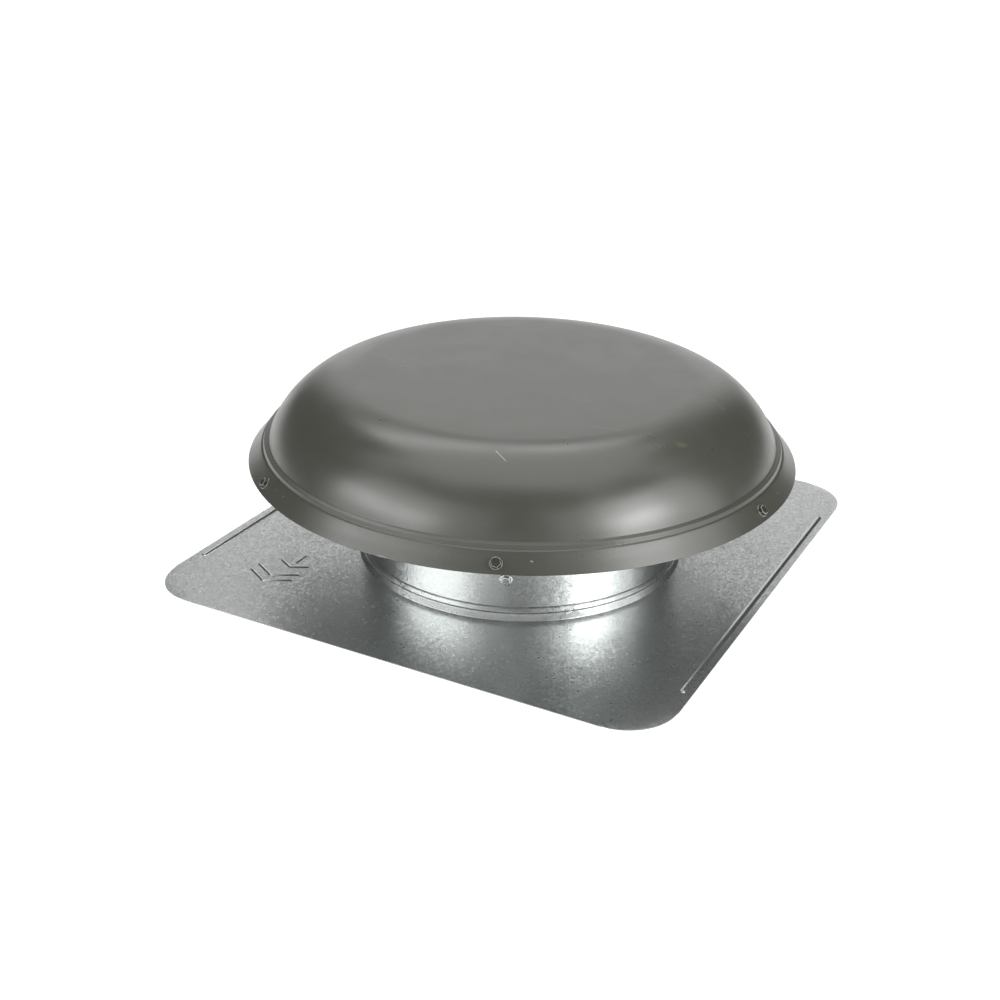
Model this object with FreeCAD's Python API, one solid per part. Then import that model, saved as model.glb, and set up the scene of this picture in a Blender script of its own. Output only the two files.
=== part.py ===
import FreeCAD, Part
import math
import os
from FreeCAD import Vector

# Roof-mounted powered attic fan. Millimetres, +Z up, the fan's axis is Z.
# z = 0 is the underside of the flashing, where it lies on the roof deck.
# -Y is the up-slope edge of the flashing.

# Sheet metal and general clearances
sheet_t = 0.8
strap_t = 1.6
fit_gap = 0.1
tab_gap = 0.3
lay_gap = 0.05
running_gap = 0.03
hole_gap = 0.2

# Flashing
plate_half_x = 298.6
plate_half_y = 313.7
plate_shift_x = -5.4
plate_shift_y = 16.0
plate_corner_r = 56.5
corner_nick = 0.8
collar_top_z = 15.0
collar_step_z = 9.2
collar_step_w = 2.2
collar_step_fall = 0.5
collar_lip_h = 2.0
collar_lip_out = 0.6
cove_run = 3.6
cove_foot_w = 10.0
cove_bend_r = 1.6
collar_bend_r = 1.0
side_bead_half_len = 220.0
side_bead_inset = 10.5
side_bead_rise = 1.5
side_bead_r = 2.4

# Direction mark pressed up into the flashing
mark_x = -193.0
mark_y = -181.0
mark_rise = 0.9
mark_r = 1.5
arrow_len = 30.0
arrow_half_w = 17.0
arrow_barb_run = 9.5
arrow_shaft_gap = 3.0
chevron_x = -200.5
chevron_tip_y = -221.0
chevron_half_w = 26.0
chevron_run = 15.0
chevron_pitch = 14.0

# Throat
throat_r = 178.5
throat_top_z = 130.6
throat_curl_r = 1.9
inlet_hem_h = 24.0
seam_azimuth = 142.5
seam_w = 16.0
seam_t = 0.8
seam_bite = 0.2
seam_end_gap = 1.0

# Hood
hood_t = 0.9
hood_rim_r = 302.0
hood_rim_z = 118.7
hood_top_z = 207.3
hood_flat_inset = 120.0
hood_shoulder_r = 105.2
hood_wall_slope = 66.0
skirt_slope = 50.2
skirt_w = 14.6
bead_step = 2.2
bead_rise = 3.9
ledge_w = 6.6
ledge_fall = 1.4
step_fall = 1.0
foot_bend_r = 2.2
bead_bend_r = 1.5
step_bend_r = 1.3
skirt_bend_r = 5.0
skirt_screw_share = 0.53

# Hood brackets, one under each skirt screw
bracket_count = 6
bracket_azimuth = -67.5
bracket_w = 19.0
bracket_drop = 2.9
bracket_foot_z = 30.0
bracket_bend_r = 3.2
bracket_tab_len = 17.0

# Screws
screw_r = 2.3
screw_len = 10.0
screw_tip_len = 2.5
washer_r = 7.0
washer_t = 1.1
head_across_flats = 9.5
head_h = 3.6
head_dimple_r = 2.9
head_dimple_depth = 0.7
washer_bevel = 0.5
screw_tip_r = 0.3
throat_screw_z = 47.0

# Guard screen
screen_t = 0.8
screen_edge_w = 4.0
screen_row_count = 6
screen_slot_count = 54
screen_bar_w = 2.2
screen_edge_gap = 1.1
rivet_r = 1.6
rivet_head_r = 3.2
rivet_head_h = 1.0
rivet_place_r = 232.0

# Motor mount
mount_t = 2.0
mount_z = 30.0
mount_arm_w = 22.0
mount_arm_count = 3
mount_ring_r = 60.0
mount_eye_r = 36.0
mount_tab_top_z = 62.0
mount_bend_r = 5.0

# Motor
motor_r = 56.5
motor_h = 66.0
shell_t = 1.2
bell_h = 6.0
bell_t = 3.0
spigot_h = 4.0
bell_bore_gap = 0.6
boss_r = 16.0
boss_h = 11.0
bearing_r = 12.0
bearing_h = 10.4
shaft_r = 6.35
shaft_top_z = 124.0
shaft_bevel = 0.8
stator_h = 28.0
stator_drop = 5.0
stator_slot_count = 12
thrust_washer_w = 4.0
air_gap = 0.6
rotor_r = 28.0
winding_r_in = 32.0
winding_r_out = 45.0
winding_h = 6.5
tie_bolt_r = 2.2
tie_bolt_circle_r = 50.0
tie_bolt_count = 4
tie_bolt_azimuth = 25.0
nut_across_flats = 8.0
nut_h = 3.4
bolt_end_len = 1.5
bell_slot_count = 8
bell_slot_half_azimuth = 13.0
bell_slot_inset = 4.0
bell_slot_w = 18.0
stator_slot_w = 6.0
stator_mouth_w = 2.4
stator_wire_gap = 0.2
end_play = 0.2
rotor_inset = 1.0

# Fan blade and hub
blade_t = 1.4
blade_tip_r = 170.5
blade_count = 4
blade_disc_r = 42.0
blade_disc_z = 113.0
blade_corner = 22.0
wing_root_chord = 50.0
wing_tip_chord = 134.0
wing_tip_half_w = 63.0
wing_root_slope = 3.0
wing_tip_slope = 22.0
wing_root_camber = 0.6
wing_tip_camber = 9.6
wing_root_overlap = 6.0
wing_trim = 3.0
hub_r = 13.0
hub_flange_r = 25.0
hub_flange_t = 3.0
hub_low_z = 100.0
hub_nose = 6.0
hub_bore_gap = 0.03
hub_rivet_circle_r = 19.0
hub_rivet_count = 4
hub_rivet_azimuth = 45.0
set_screw_r = 3.0
set_screw_z = 105.0
set_screw_inset = 0.5
set_screw_socket = 3.0
set_screw_socket_depth = 2.4

# Junction box, its lid and the thermostat
box_half_x = 50.0
box_y_in = 118.0
box_y_out = 163.0
box_low_z = 37.0
box_h = 35.0
box_t = 1.2
box_flange_w = 15.2
box_flange_half_y = 10.5
box_screw_len = 8.0
lid_tab_w = 24.0
lid_bend_r = 3.0
knockout_x = -26.0
knockout_r = 11.1
dial_x = 25.0
dial_r = 15.0
dial_h = 8.6
dial_gap = 0.4
dial_bevel = 1.2
dial_flute_count = 24
dial_flute_r = 1.5
dial_flute_out = 0.8
dial_skirt_h = 2.0
pointer_w = 1.6
pointer_depth = 0.8
pointer_in_r = 4.0
stem_r = 3.0
stem_len = 8.0
stem_gap = 0.4
stat_w = 38.0
stat_side_trim = 2.0
stat_h = 20.0
sensor_r = 9.0
sensor_h = 3.0
terminal_w = 36.0
terminal_h = 14.0
terminal_d = 10.0
terminal_lift = 18.0
terminal_way_count = 3
pocket_half_w = 4.0
pocket_depth = 4.0
pocket_inset = 3.0
terminal_screw_r = 2.6
terminal_screw_h = 2.0
driver_slot_w = 0.8

# Motor lead, held at both ends
lead_r = 4.0
lead_z_motor = 81.0
lead_z_box = 64.0
lead_x_box = -5.0
lead_tail = 6.5
lead_run_motor = 16.5
lead_run_box = 19.0
lead_bend_share = 0.45
bushing_r = 6.8
bushing_flange_r = 8.6
bushing_lip = 2.0

# Worked-out sizes
throat_r_in = throat_r - sheet_t
inlet_r = throat_r_in - sheet_t
collar_r = throat_r + fit_gap + sheet_t
box_y_mid = (box_y_in + box_y_out) / 2
box_top_z = box_low_z + box_h
lid_top_z = box_top_z + box_t
motor_low_z = mount_z + mount_t
motor_top_z = motor_low_z + motor_h
shell_r_in = motor_r - shell_t
shell_low_z = motor_low_z + bell_h
shell_top_z = motor_top_z - bell_h
stator_low_z = (motor_low_z + motor_top_z - stator_h) / 2 - stator_drop
stator_top_z = stator_low_z + stator_h
skirt_top_r = hood_rim_r - skirt_w
bead_r = skirt_top_r - bead_step
hood_flat_r = hood_rim_r - hood_flat_inset
skirt_top_z = hood_rim_z + skirt_w * math.tan(math.radians(skirt_slope))
bead_low_z = skirt_top_z + step_fall
ledge_out_z = bead_low_z + bead_rise
ledge_in_z = ledge_out_z + ledge_fall
wall_foot_r = bead_r - ledge_w
bracket_top_z = skirt_top_z - bracket_drop
screen_r_in = throat_r
screen_r_out = skirt_top_r - screen_edge_gap
bracket_face = math.sqrt(throat_r_in ** 2 - (bracket_w / 2) ** 2) - fit_gap
mount_face = bracket_face - strap_t - lay_gap
lid_face = math.sqrt(throat_r_in ** 2 - (lid_tab_w / 2) ** 2) - fit_gap
axis_z = Vector(0, 0, 1)
here = Vector(0, 0, 0)


# Bent sheet outlines, drawn in the XZ plane

def turn_side(a, b, c):
    """+1 where the path a, b, c turns left, -1 where it turns right."""
    cross = (b[0] - a[0]) * (c[1] - b[1]) - (b[1] - a[1]) * (c[0] - b[0])
    return 1 if cross > 0 else -1


def left_offset(points, gap):
    """The open path moved sideways to its left, with its corners kept."""
    lines = []
    for a, b in zip(points, points[1:]):
        length = math.hypot(b[0] - a[0], b[1] - a[1])
        nx, nz = -(b[1] - a[1]) / length, (b[0] - a[0]) / length
        start = (a[0] + nx * gap, a[1] + nz * gap)
        end = (b[0] + nx * gap, b[1] + nz * gap)
        lines.append((start, end))
    moved = [lines[0][0]]
    for (a, b), (c, d) in zip(lines, lines[1:]):
        moved.append(crossing(a, b, c, d))
    moved.append(lines[-1][1])
    return moved


def crossing(a, b, c, d):
    """Where the line a-b meets the line c-d."""
    ux, uz = b[0] - a[0], b[1] - a[1]
    vx, vz = d[0] - c[0], d[1] - c[1]
    share = ((c[0] - a[0]) * vz - (c[1] - a[1]) * vx) / (ux * vz - uz * vx)
    return (a[0] + share * ux, a[1] + share * uz)


def flat_point(p):
    return Vector(p[0], 0, p[1])


def rounded_edges(points, radii):
    """Edges of an open path whose inner corners are rounded by radii."""
    edges = []
    start = flat_point(points[0])
    for i, radius in enumerate(radii, 1):
        corner = flat_point(points[i])
        back = (flat_point(points[i - 1]) - corner).normalize()
        ahead = (flat_point(points[i + 1]) - corner).normalize()
        if radius < 0.02:
            edges.append(Part.makeLine(start, corner))
            start = corner
            continue
        half = back.getAngle(ahead) / 2
        reach = radius / math.tan(half)
        first, last = corner + back * reach, corner + ahead * reach
        middle = (back + ahead).normalize()
        centre = corner + middle * (radius / math.sin(half))
        top = centre - middle * radius
        if (first - start).Length > 1e-6:
            edges.append(Part.makeLine(start, first))
        edges.append(Part.Arc(first, top, last).toShape())
        start = last
    edges.append(Part.makeLine(start, flat_point(points[-1])))
    return edges


def sheet_face(points, radii, thickness):
    """Section of a bent sheet: a path and its offset to the left."""
    other = left_offset(points, thickness)
    sides = [turn_side(*points[i:i + 3]) for i in range(len(radii))]
    other_radii = [max(r - s * thickness, 0) for r, s in zip(radii, sides)]
    edges = rounded_edges(points, radii)
    edges.append(Part.makeLine(flat_point(points[-1]), flat_point(other[-1])))
    edges += rounded_edges(other[::-1], other_radii[::-1])
    edges.append(Part.makeLine(flat_point(other[0]), flat_point(points[0])))
    wire = Part.Wire(Part.__sortEdges__(edges))
    return Part.Face(wire)


def revolved(face):
    return face.revolve(here, axis_z, 360)


def widened(face, width):
    face.translate(Vector(0, -width / 2, 0))
    return face.extrude(Vector(0, width, 0))


# Simple solids

def disc(radius, low, high):
    return Part.makeCylinder(radius, high - low, Vector(0, 0, low))


def tube(outer, inner, low, high):
    return disc(outer, low, high).cut(disc(inner, low, high))


def block(x0, x1, y0, y1, z0, z1):
    return Part.makeBox(x1 - x0, y1 - y0, z1 - z0, Vector(x0, y0, z0))


def hexagon(across_flats, height):
    """Hexagonal prism standing on the origin along +Z."""
    reach = across_flats / math.sqrt(3)
    corners = [polar(reach, 60 * k) for k in range(7)]
    return Part.Face(Part.makePolygon(corners)).extrude(Vector(0, 0, height))


def polar(radius, azimuth, z=0.0):
    angle = math.radians(azimuth)
    return Vector(radius * math.cos(angle), radius * math.sin(angle), z)


def turned(shape, azimuth):
    copy = shape.copy()
    copy.rotate(here, axis_z, azimuth)
    return copy


def aimed(shape, place, direction):
    """A solid built along +Z from the origin, put at place along direction."""
    copy = shape.copy()
    spin = FreeCAD.Rotation(axis_z, direction)
    copy.Placement = FreeCAD.Placement(place, spin).multiply(copy.Placement)
    return copy


def joined(shapes):
    whole = shapes[0]
    if len(shapes) > 1:
        whole = whole.fuse(shapes[1:])
    return whole.removeSplitter()


def around(shape, count, first):
    return [turned(shape, first + 360 / count * k) for k in range(count)]


def bracket_azimuths():
    return [bracket_azimuth + 360 / bracket_count * k for k in range(bracket_count)]


def mount_azimuths():
    step = 360 / mount_arm_count
    return [bracket_azimuth + step * k for k in range(mount_arm_count)]


# Fasteners

def hex_washer_screw(length):
    """Hex washer head above z = 0, pointed shank below it."""
    flange = disc(washer_r, 0, washer_t)
    flange = flange.makeChamfer(washer_bevel, [e for e in flange.Edges if on_top(e, washer_t)])
    head = hexagon(head_across_flats, head_h)
    head.translate(Vector(0, 0, washer_t))
    dimple = disc(head_dimple_r, washer_t + head_h - head_dimple_depth, washer_t + head_h)
    body = disc(screw_r, screw_tip_len - length, 0)
    tip = Part.makeCone(screw_tip_r, screw_r, screw_tip_len, Vector(0, 0, -length))
    return joined([flange, head, body, tip]).cut(dimple)


def on_top(edge, height):
    return abs(edge.BoundBox.ZMin - height) < 1e-6 and edge.BoundBox.ZLength < 1e-6


def skirt_place(share, lift):
    """Radius and height of a point on the skirt's outside, lifted off it."""
    slope = math.radians(skirt_slope)
    radius = skirt_top_r + share * (hood_rim_r - skirt_top_r) + lift * math.sin(slope)
    height = skirt_top_z + share * (hood_rim_z - skirt_top_z) + lift * math.cos(slope)
    return radius, height


def skirt_direction(azimuth):
    slope = math.radians(skirt_slope)
    return polar(math.sin(slope), azimuth, math.cos(slope))


def make_hood_screws():
    screw = hex_washer_screw(screw_len)
    radius, height = skirt_place(skirt_screw_share, lay_gap)
    screws = []
    for azimuth in bracket_azimuths():
        screws.append(aimed(screw, polar(radius, azimuth, height), skirt_direction(azimuth)))
    return Part.makeCompound(screws)


def make_throat_screws():
    screw = hex_washer_screw(screw_len)
    screws = []
    for azimuth in bracket_azimuths() + [90.0]:
        place = polar(throat_r + lay_gap, azimuth, throat_screw_z)
        screws.append(aimed(screw, place, polar(1, azimuth)))
    return Part.makeCompound(screws)


def radial_hole(radius, azimuth, z, inner, outer):
    hole = Part.makeCylinder(radius, outer - inner)
    return aimed(hole, polar(inner, azimuth, z), polar(1, azimuth))


# Flashing

def plate_outline(low, high):
    """Rounded sheet with a small nick where each corner starts."""
    hx, hy, r, n = plate_half_x, plate_half_y, plate_corner_r, corner_nick
    diagonal = r * (1 - math.sqrt(0.5))
    edges = []
    start = None
    for k, (sx, sy) in enumerate([(1, 1), (-1, 1), (-1, -1), (1, -1)]):
        a = [(sx * hx, sy * (hy - r)), (sx * (hx - n), sy * (hy - r))]
        m = (sx * (hx - n - diagonal), sy * (hy - n - diagonal))
        b = [(sx * (hx - r), sy * (hy - n)), (sx * (hx - r), sy * hy)]
        run = [a[0], a[1], b[0], b[1]] if k % 2 == 0 else [b[1], b[0], a[1], a[0]]
        p = [Vector(plate_shift_x + x, plate_shift_y + y, low) for x, y in run]
        mid = Vector(plate_shift_x + m[0], plate_shift_y + m[1], low)
        if start is not None:
            edges.append(Part.makeLine(start, p[0]))
        else:
            first = p[0]
        edges.append(Part.makeLine(p[0], p[1]))
        edges.append(Part.Arc(p[1], mid, p[2]).toShape())
        edges.append(Part.makeLine(p[2], p[3]))
        start = p[3]
    edges.append(Part.makeLine(start, first))
    return Part.Face(Part.Wire(edges)).extrude(Vector(0, 0, high - low))


def pressed_rib(a, b, radius, rise):
    """Round-backed rib from a to b on the sheet, and the hollow under it."""
    ribs = []
    depth = sheet_t + rise - radius
    for size in (radius, radius - sheet_t):
        if size <= 0.2:
            ribs.append(None)
            continue
        start, end = Vector(a[0], a[1], depth), Vector(b[0], b[1], depth)
        rod = Part.makeCylinder(size, (end - start).Length, start, end - start)
        ends = [Part.makeSphere(size, p) for p in (start, end)]
        rib = joined([rod] + ends)
        far = 4 * size
        below = block(min(a[0], b[0]) - far, max(a[0], b[0]) + far,
                      min(a[1], b[1]) - far, max(a[1], b[1]) + far, -3 * far, 0)
        ribs.append(rib.cut(below))
    return ribs


def mark_strokes():
    strokes = []
    tip = (mark_x, mark_y)
    for side in (-1, 1):
        strokes.append((tip, (mark_x + side * arrow_half_w, mark_y + arrow_barb_run)))
    shaft_y = mark_y + arrow_barb_run + arrow_shaft_gap
    strokes.append(((mark_x, shaft_y), (mark_x, mark_y + arrow_len)))
    for k in range(2):
        tip = (chevron_x, chevron_tip_y + k * chevron_pitch)
        for side in (-1, 1):
            strokes.append((tip, (chevron_x + side * chevron_half_w, tip[1] + chevron_run)))
    return strokes


def side_beads():
    beads = []
    for side in (-1, 1):
        x = plate_shift_x + side * (plate_half_x - side_bead_inset)
        low, high = plate_shift_y - side_bead_half_len, plate_shift_y + side_bead_half_len
        beads.append(((x, low), (x, high)))
    return beads


def make_base_flashing():
    step_r = collar_r + collar_step_w
    cove_r = step_r + cove_run
    blank_r = cove_r + cove_foot_w
    plate = plate_outline(0, sheet_t).cut(disc(blank_r, -1, sheet_t + 1))
    path = [(blank_r, sheet_t), (cove_r, sheet_t), (step_r, collar_step_z - collar_step_fall),
            (collar_r, collar_step_z), (collar_r, collar_top_z - collar_lip_h),
            (collar_r + collar_lip_out, collar_top_z)]
    radii = [cove_bend_r, collar_bend_r, collar_bend_r, collar_bend_r]
    collar = revolved(sheet_face(path, radii, sheet_t))
    ribs, hollows = [], []
    for a, b in side_beads():
        rib, hollow = pressed_rib(a, b, side_bead_r, side_bead_rise)
        ribs.append(rib)
        hollows.append(hollow)
    for a, b in mark_strokes():
        rib, hollow = pressed_rib(a, b, mark_r, mark_rise)
        ribs.append(rib)
        if hollow is not None:
            hollows.append(hollow)
    flashing = plate.fuse([collar] + ribs)
    for hollow in hollows:
        flashing = flashing.cut(hollow)
    return flashing.removeSplitter()


# Throat

def make_throat():
    wall = tube(throat_r, throat_r_in, 0, throat_top_z - throat_curl_r)
    hem = tube(throat_r_in, inlet_r, 0, inlet_hem_h)
    curl = Part.makeTorus(throat_r + throat_curl_r - sheet_t, throat_curl_r,
                          Vector(0, 0, throat_top_z - throat_curl_r))
    half = math.degrees(seam_w / 2 / throat_r)
    seam_low = collar_top_z + seam_end_gap
    seam_high = throat_top_z - 2 * throat_curl_r - seam_end_gap
    lap = Part.makeCylinder(throat_r + seam_t, seam_high - seam_low,
                            Vector(0, 0, seam_low), axis_z, 2 * half)
    lap = turned(lap.cut(disc(throat_r - seam_bite, 0, throat_top_z)), seam_azimuth - half)
    throat = joined([wall, hem, curl, lap])
    for azimuth in bracket_azimuths() + [90.0]:
        hole = radial_hole(screw_r + hole_gap, azimuth, throat_screw_z,
                           throat_r - screw_len, throat_r + screw_len)
        throat = throat.cut(hole)
    return throat


# Hood

def hood_path():
    """Outer surface of the hood from its centre down to the rim."""
    slope = math.radians(hood_wall_slope)
    corner_r = hood_flat_r + hood_shoulder_r * math.tan(slope / 2)
    top = (corner_r, hood_top_z)
    wall_end = (corner_r + math.cos(slope), hood_top_z - math.sin(slope))
    ledge = ((wall_foot_r, ledge_in_z), (bead_r, ledge_out_z))
    foot = crossing(top, wall_end, *ledge)
    return [(0, hood_top_z), top, foot, (bead_r, ledge_out_z), (bead_r, bead_low_z),
            (skirt_top_r, skirt_top_z), (hood_rim_r, hood_rim_z)]


def make_hood():
    radii = [hood_shoulder_r, foot_bend_r, bead_bend_r, step_bend_r, skirt_bend_r]
    hood = revolved(sheet_face(hood_path(), radii, -hood_t))
    radius, height = skirt_place(skirt_screw_share, -screw_len / 2)
    hole = Part.makeCylinder(screw_r + hole_gap, screw_len)
    for azimuth in bracket_azimuths():
        hood = hood.cut(aimed(hole, polar(radius, azimuth, height), skirt_direction(azimuth)))
    return hood


# Hood bracket: a strap from the throat's inner wall over its top to the skirt

def bracket_path():
    """The strap's outer and lower face, from its foot to the end of its tab."""
    low = bracket_top_z - strap_t
    tab_top = skirt_place(0, -hood_t - tab_gap - strap_t)
    tab_end = skirt_place(1, -hood_t - tab_gap - strap_t)
    over = crossing((0, low), (1, low), tab_top, tab_end)
    slope = math.radians(skirt_slope)
    end = (over[0] + bracket_tab_len * math.cos(slope), over[1] - bracket_tab_len * math.sin(slope))
    return [(bracket_face, bracket_foot_z), (bracket_face, low), over, end]


def make_hood_bracket():
    inner_bend_r = bracket_bend_r - strap_t
    section = sheet_face(bracket_path(), [inner_bend_r, inner_bend_r], strap_t)
    strap = widened(section, bracket_w)
    radius, height = skirt_place(skirt_screw_share, -screw_len / 2)
    skirt_hole = aimed(Part.makeCylinder(screw_r + hole_gap, screw_len),
                       polar(radius, 0, height), skirt_direction(0))
    wall_hole = radial_hole(screw_r + hole_gap, 0, throat_screw_z,
                            throat_r - screw_len, throat_r)
    rivet_hole = disc(rivet_r + lay_gap, bracket_top_z - 2 * strap_t, bracket_top_z + strap_t)
    rivet_hole.translate(Vector(rivet_place_r, 0, 0))
    return strap.cut([skirt_hole, wall_hole, rivet_hole])


# Guard screen over the discharge gap

def ring_slot(inner, outer, half_angle, low, high):
    """Part of a ring between two radii, centred on azimuth 0."""
    a, b = polar(inner, -half_angle, low), polar(inner, half_angle, low)
    c, d = polar(outer, half_angle, low), polar(outer, -half_angle, low)
    edges = [Part.Arc(a, Vector(inner, 0, low), b).toShape(), Part.makeLine(b, c),
             Part.Arc(c, Vector(outer, 0, low), d).toShape(), Part.makeLine(d, a)]
    return Part.Face(Part.Wire(edges)).extrude(Vector(0, 0, high - low))


def make_guard_screen():
    low = bracket_top_z + lay_gap
    sheet = tube(screen_r_out, screen_r_in, low, low + screen_t)
    inner = screen_r_in + screen_edge_w
    pitch = (screen_r_out - screen_edge_w - inner + screen_bar_w) / screen_row_count
    step = 360 / screen_slot_count
    skipped = screen_slot_count // bracket_count
    slots = []
    for row in range(screen_row_count):
        r0 = inner + row * pitch
        r1 = r0 + pitch - screen_bar_w
        bar = math.degrees(screen_bar_w / 2 / r0)
        slot = ring_slot(r0, r1, step / 2 - bar, low - 1, low + screen_t + 1)
        for k in range(screen_slot_count):
            if k % skipped:
                slots.append(turned(slot, bracket_azimuth + step * k))
    screen = sheet.cut(Part.makeCompound(slots))
    rivet_hole = disc(rivet_r + lay_gap, low - screen_t, low + 2 * screen_t)
    rivet_hole.translate(Vector(rivet_place_r, 0, 0))
    return screen.cut(around(rivet_hole, bracket_count, bracket_azimuth))


def make_screen_rivets():
    grip_low, grip_high = bracket_top_z - strap_t, bracket_top_z + lay_gap + screen_t
    shank = disc(rivet_r, grip_low, grip_high)
    upper = disc(rivet_head_r, grip_high, grip_high + rivet_head_h)
    lower = disc(rivet_head_r, grip_low - rivet_head_h, grip_low)
    rivet = joined([shank, upper, lower])
    rivet.translate(Vector(rivet_place_r, 0, 0))
    return Part.makeCompound(around(rivet, bracket_count, bracket_azimuth))


# Motor mount: a ring with three arms bent up against the bracket feet

def make_motor_mount():
    ring_mid = (mount_ring_r + mount_eye_r) / 2
    path = [(ring_mid, mount_z), (mount_face, mount_z), (mount_face, mount_tab_top_z)]
    arm = widened(sheet_face(path, [mount_bend_r], mount_t), mount_arm_w)
    arm = arm.cut(radial_hole(screw_r + hole_gap, 0, throat_screw_z,
                              throat_r - screw_len, throat_r))
    ring = tube(mount_ring_r, mount_eye_r, mount_z, motor_low_z)
    mount = joined([ring] + around(arm, mount_arm_count, bracket_azimuth))
    hole = disc(tie_bolt_r + hole_gap, mount_z - 1, motor_low_z + 1)
    hole.translate(Vector(tie_bolt_circle_r, 0, 0))
    return mount.cut(around(hole, tie_bolt_count, tie_bolt_azimuth))


# Motor

def tie_bolt_holes(low, high):
    hole = disc(tie_bolt_r + hole_gap, low, high)
    hole.translate(Vector(tie_bolt_circle_r, 0, 0))
    return around(hole, tie_bolt_count, tie_bolt_azimuth)


def end_bell():
    """End bell standing on z = 0 with its bearing boss upwards."""
    cap = disc(motor_r, 0, bell_t)
    rim = tube(motor_r, shell_r_in - shell_t, 0, bell_h)
    spigot = tube(shell_r_in - lay_gap, shell_r_in - 2 * shell_t, 0, bell_h + spigot_h)
    boss = disc(boss_r, 0, bell_t + boss_h)
    bell = joined([cap, rim, spigot, boss])
    bell = bell.cut(disc(bearing_r, bell_t, bell_t + boss_h + 1))
    slot_r = boss_r + bell_slot_inset
    slot = ring_slot(slot_r, slot_r + bell_slot_w, bell_slot_half_azimuth, -1, bell_t + 1)
    return bell.cut(around(slot, bell_slot_count, 0))


def make_lower_bell():
    bell = end_bell()
    bell.translate(Vector(0, 0, motor_low_z))
    return bell.cut(tie_bolt_holes(motor_low_z - 1, shell_low_z + spigot_h + 1))


def make_upper_bell():
    bell = end_bell().cut(disc(shaft_r + bell_bore_gap, -1, bell_t + 1))
    bell.rotate(here, Vector(1, 0, 0), 180)
    bell.translate(Vector(0, 0, motor_top_z))
    return bell.cut(tie_bolt_holes(shell_top_z - spigot_h - 1, motor_top_z + 1))


def make_motor_shell():
    shell = tube(motor_r, shell_r_in, shell_low_z, shell_top_z)
    return shell.cut(radial_hole(bushing_r, 90, lead_z_motor, winding_r_out, motor_r + 1))


def make_bearing(low):
    return tube(bearing_r - lay_gap, shaft_r + running_gap, low, low + bearing_h)


def make_lower_bearing():
    return make_bearing(motor_low_z + bell_t + lay_gap)


def make_upper_bearing():
    return make_bearing(motor_top_z - bell_t - lay_gap - bearing_h)


def make_stator_core():
    core = tube(shell_r_in - lay_gap, rotor_r + air_gap, stator_low_z, stator_top_z)
    low, high = stator_low_z - 1, stator_top_z + 1
    half, neck = stator_slot_w / 2, stator_mouth_w / 2
    slot = block(winding_r_in, winding_r_out, -half, half, low, high)
    mouth = block(rotor_r, winding_r_in + 1, -neck, neck, low, high)
    cuts = []
    for k in range(stator_slot_count):
        cuts.append(turned(slot, 360 / stator_slot_count * k))
        cuts.append(turned(mouth, 360 / stator_slot_count * k))
    return core.cut(cuts + tie_bolt_holes(low, high))


def make_stator_windings():
    """Both ring-shaped end turns, joined by the coils lying in the slots."""
    lower = tube(winding_r_out, winding_r_in, stator_low_z - winding_h, stator_low_z - lay_gap)
    upper = tube(winding_r_out, winding_r_in, stator_top_z + lay_gap, stator_top_z + winding_h)
    half = stator_slot_w / 2 - stator_wire_gap
    bar = block(winding_r_in + stator_wire_gap, winding_r_out - stator_wire_gap, -half, half,
                stator_low_z - 1, stator_top_z + 1)
    return joined([lower, upper] + around(bar, stator_slot_count, 0))


def make_rotor_core():
    bore = shaft_r + hub_bore_gap
    return tube(rotor_r, bore, stator_low_z + rotor_inset, stator_top_z - rotor_inset)


def make_motor_shaft():
    shaft = disc(shaft_r, motor_low_z + bell_t + end_play, shaft_top_z)
    return shaft.makeChamfer(shaft_bevel, [e for e in shaft.Edges if on_top(e, shaft_top_z)])


def make_thrust_washers():
    """One on each side of the rotor, between it and the bearing bosses."""
    outer, inner = shaft_r + thrust_washer_w, shaft_r + lay_gap
    lower_low = motor_low_z + bell_t + boss_h + end_play
    lower_high = stator_low_z + rotor_inset - lay_gap
    upper_low = stator_top_z - rotor_inset + lay_gap
    upper_high = motor_top_z - bell_t - boss_h - end_play
    return Part.makeCompound([tube(outer, inner, lower_low, lower_high),
                              tube(outer, inner, upper_low, upper_high)])


def make_tie_bolts():
    low = mount_z - nut_h - bolt_end_len
    shank = disc(tie_bolt_r, low, motor_top_z + lay_gap)
    head = hexagon(nut_across_flats, nut_h)
    head.translate(Vector(0, 0, motor_top_z + lay_gap))
    bolt = joined([shank, head])
    bolt.translate(Vector(tie_bolt_circle_r, 0, 0))
    return Part.makeCompound(around(bolt, tie_bolt_count, tie_bolt_azimuth))


def make_tie_bolt_nuts():
    nut = hexagon(nut_across_flats, nut_h).cut(disc(tie_bolt_r + lay_gap, -1, nut_h + 1))
    nut.translate(Vector(tie_bolt_circle_r, 0, mount_z - nut_h - lay_gap))
    return Part.makeCompound(around(nut, tie_bolt_count, tie_bolt_azimuth))


# Fan blade

def wing_section(radius, chord, pitch, camber):
    """Closed outline of the wing's sheet at one radius, across the wing."""
    angle = math.radians(pitch)

    def place(across, up):
        y = across * math.cos(angle) - up * math.sin(angle)
        z = across * math.sin(angle) + up * math.cos(angle)
        return Vector(radius, y, blade_disc_z + z)

    half = chord / 2
    low = Part.Arc(place(-half, 0), place(0, camber), place(half, 0)).toShape()
    high = Part.Arc(place(half, blade_t), place(0, camber + blade_t), place(-half, blade_t)).toShape()
    ends = [Part.makeLine(place(half, 0), place(half, blade_t)),
            Part.makeLine(place(-half, blade_t), place(-half, 0))]
    return Part.Wire([low, ends[0], high, ends[1]])


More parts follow.
